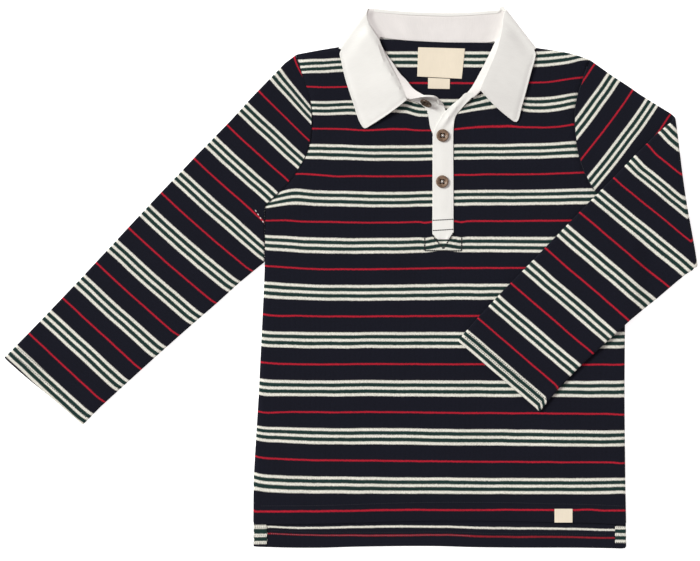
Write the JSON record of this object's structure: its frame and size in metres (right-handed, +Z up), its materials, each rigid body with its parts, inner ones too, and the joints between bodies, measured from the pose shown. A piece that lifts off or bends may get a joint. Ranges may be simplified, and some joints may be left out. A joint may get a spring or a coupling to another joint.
{
  "type": "rugby shirt",
  "caption": "Child's long-sleeved striped rugby shirt laid flat on its back, one sleeve out and one folded over the front, with a white twill collar and button placket.",
  "frame": {"origin": "centre of the footprint, on the surface that the shirt lies on", "axes": "+Z up from the surface, +Y towards the collar, +X towards the wearer's left sleeve"},
  "size_m": [0.6939, 0.5388, 0.0104],
  "materials": {
    "navy": "matt",
    "white": "matt",
    "cream": "satin",
    "brown": "gloss"
  },
  "bodies": {
    "root": {"back_body": "navy", "front_body": "navy", "sleeve_right": "navy", "sleeve_left": "navy", "collar_stand": "white", "collar_fall": "white", "placket_over": "white", "placket_under": "white", "button_top": "brown", "button_middle": "brown", "button_lower": "brown", "neck_label": "cream", "size_label": "cream", "hem_label": "cream", "back_hem": "navy", "vent_facing_right": "navy", "vent_facing_left": "navy"}
  },
  "joints": []
}
